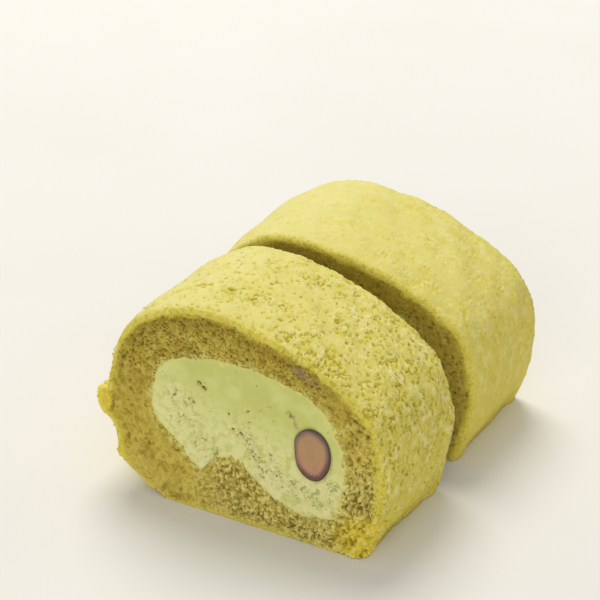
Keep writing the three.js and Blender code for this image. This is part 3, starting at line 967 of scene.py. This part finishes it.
# The ring of sponge and the core of cream of one slice.
def makeSlice(form, trees, materials):
    cuts = {key: value for key, value in form.items() if key[0].isupper()}
    outer, angles = fanColumns(form["columns"])
    inner = creamColumns(angles, rollForm["spongeLap"])
    values = {**cuts, **form["rows"], **skinForm, "Columns": form["columns"]}
    sponge = grow(outlineMesh(outer, inner), trees["layer"], materials["sponge"], values)
    values = {**reliefForm, "Front Share": form["frontShare"]}
    sponge = grow(sponge, trees["sponge"], materials["sponge"], values)

    _, angles = fanColumns(form["creamColumns"])
    outer = creamColumns(angles, rollForm["creamLap"])
    heart = np.tile(rollForm["heart"], (len(outer), 1))
    values = {**cuts, **form["creamRows"], **noSkin, "Columns": form["creamColumns"], "Hollow": 0}
    cream = grow(outlineMesh(outer, heart), trees["layer"], materials["cream"], values)
    values = {**creamRelief, "Front Share": form["frontShare"]}
    cream = grow(cream, trees["cream"], materials["cream"], values)
    return sponge, cream


# Sets a mesh that is in millimetres along its slice in the frame, with the cream over its solid.
def setInFrame(mesh, form):
    creamLow = np.array(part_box("front_cream")[0]) * 1000
    ownLow = creamLine().min(0)
    lean = sliceForms["front"]["Lean"]
    origin = Vector((creamLow[0] - ownLow[0], creamLow[1] - lean * ownLow[1], 0))
    shift = Matrix.Translation(origin + Vector((*form["shift"], 0)))
    turn = Matrix.Rotation(form["turn"], 4, "Z")
    size = Matrix.Diagonal((form["size"], 1, form["size"], 1))
    mesh.transform(Matrix.Scale(0.001, 4) @ shift @ turn @ size)


def addPiece(name, mesh, form, node):
    setInFrame(mesh, form)
    mesh.polygons.foreach_set("use_smooth", [True] * len(mesh.polygons))
    mesh.name = name
    piece = bpy.data.objects.new(name, mesh)
    bpy.context.scene.collection.objects.link(piece)
    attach(piece, "root")
    if node:
        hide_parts(node)
    triangles = sum(len(polygon.vertices) - 2 for polygon in mesh.polygons)
    print(f"{name}: {len(mesh.vertices)} points, {triangles} triangles")


def build():
    materials = {
        "sponge": newMaterial("green sponge", spongeLook, spongeConstants),
        "cream": newMaterial("green cream", creamLook, creamConstants),
        "bean": newMaterial("red bean", beanLook, beanConstants),
    }
    trees = {"layer": buildLayerTree(), "sponge": buildSpongeReliefTree(), "cream": buildCreamReliefTree()}
    print("materials and trees made")
    for name, form in sliceForms.items():
        sponge, cream = makeSlice(form, trees, materials)
        if name == "front":
            for layer, mesh in (("sponge", sponge), ("cream", cream)):
                for kind, marks in frontMarks[layer].items():
                    markCut(mesh, kind, marks)
            crumbs = grow(sponge.copy(), buildCrumbTree(), materials["sponge"], crumbForm)
            addPiece("crumbs", crumbs, form, None)
        addPiece(f"{name}_sponge_crumb", sponge, form, f"{name}_sponge")
        addPiece(f"{name}_cream_filling", cream, form, f"{name}_cream")
    mesh = buildBean()
    mesh.materials.append(materials["bean"])
    addPiece("halved_bean", mesh, sliceForms["front"], "front_bean")


stageForm = {
    "floor": 9.0,
    "floorColours": (paint(238, 236, 230), paint(232, 229, 222)),
    "lights": {
        "key": {"place": (-0.45, 0.55, 1.1), "size": 0.8, "energy": 10.8, "colour": (1.0, 0.985, 0.95)},
        "fill": {"place": (0.5, -1.3, 0.7), "size": 1.2, "energy": 6.2, "colour": (1.0, 1.0, 1.0)},
    },
    "lightAim": (0, 0, 0.02),
    "roomColour": (1.0, 0.99, 0.97), "roomLight": 0.48,
    "lens": 144.16, "cameraPlace": (216.06, -374.8, 251.4), "cameraAim": (15.987, -37.101, 52.233),
}


def turnTo(thing, aim):
    thing.rotation_euler = (aim - thing.location).to_track_quat("-Z", "Y").to_euler()
    bpy.context.scene.collection.objects.link(thing)


# The floor, the lights and the camera.
def makeStage():
    half = stageForm["floor"] / 2
    corners = [(-half, -half, 0), (half, -half, 0), (half, half, 0), (-half, half, 0)]
    mesh = bpy.data.meshes.new("floor")
    mesh.from_pydata(corners, [], [(0, 1, 2, 3)])
    floor = bpy.data.objects.new("floor", mesh)
    bpy.context.scene.collection.objects.link(floor)
    mesh.materials.append(newMaterial("pale floor", floorLook, {"Specular IOR Level": 0.2}))

    for name, light in stageForm["lights"].items():
        data = bpy.data.lights.new(name, "AREA")
        data.shape = "DISK"
        data.size = light["size"]
        data.energy = light["energy"]
        data.color = light["colour"]
        lamp = bpy.data.objects.new(name, data)
        lamp.location = light["place"]
        turnTo(lamp, Vector(stageForm["lightAim"]))

    world = bpy.data.worlds.new("soft room")
    world.use_nodes = True
    room = world.node_tree.nodes["Background"]
    room.inputs["Color"].default_value = (*stageForm["roomColour"], 1)
    room.inputs["Strength"].default_value = stageForm["roomLight"]
    bpy.context.scene.world = world
    bpy.context.scene.view_settings.view_transform = "Standard"

    data = bpy.data.cameras.new("camera")
    data.lens = stageForm["lens"]
    camera = bpy.data.objects.new("camera", data)
    camera.location = Vector(stageForm["cameraPlace"]) / 1000
    turnTo(camera, Vector(stageForm["cameraAim"]) / 1000)
    bpy.context.scene.camera = camera
    print("floor, lights and camera set")


def floorLook(maker, place):
    patches = maker.noise(place, 60.0)
    grain = maker.noise(place, 1.5)
    return maker.blend(patches, *stageForm["floorColours"]), 0.7 + 0.1 * patches, grain * 0.02


makeStage()
build()
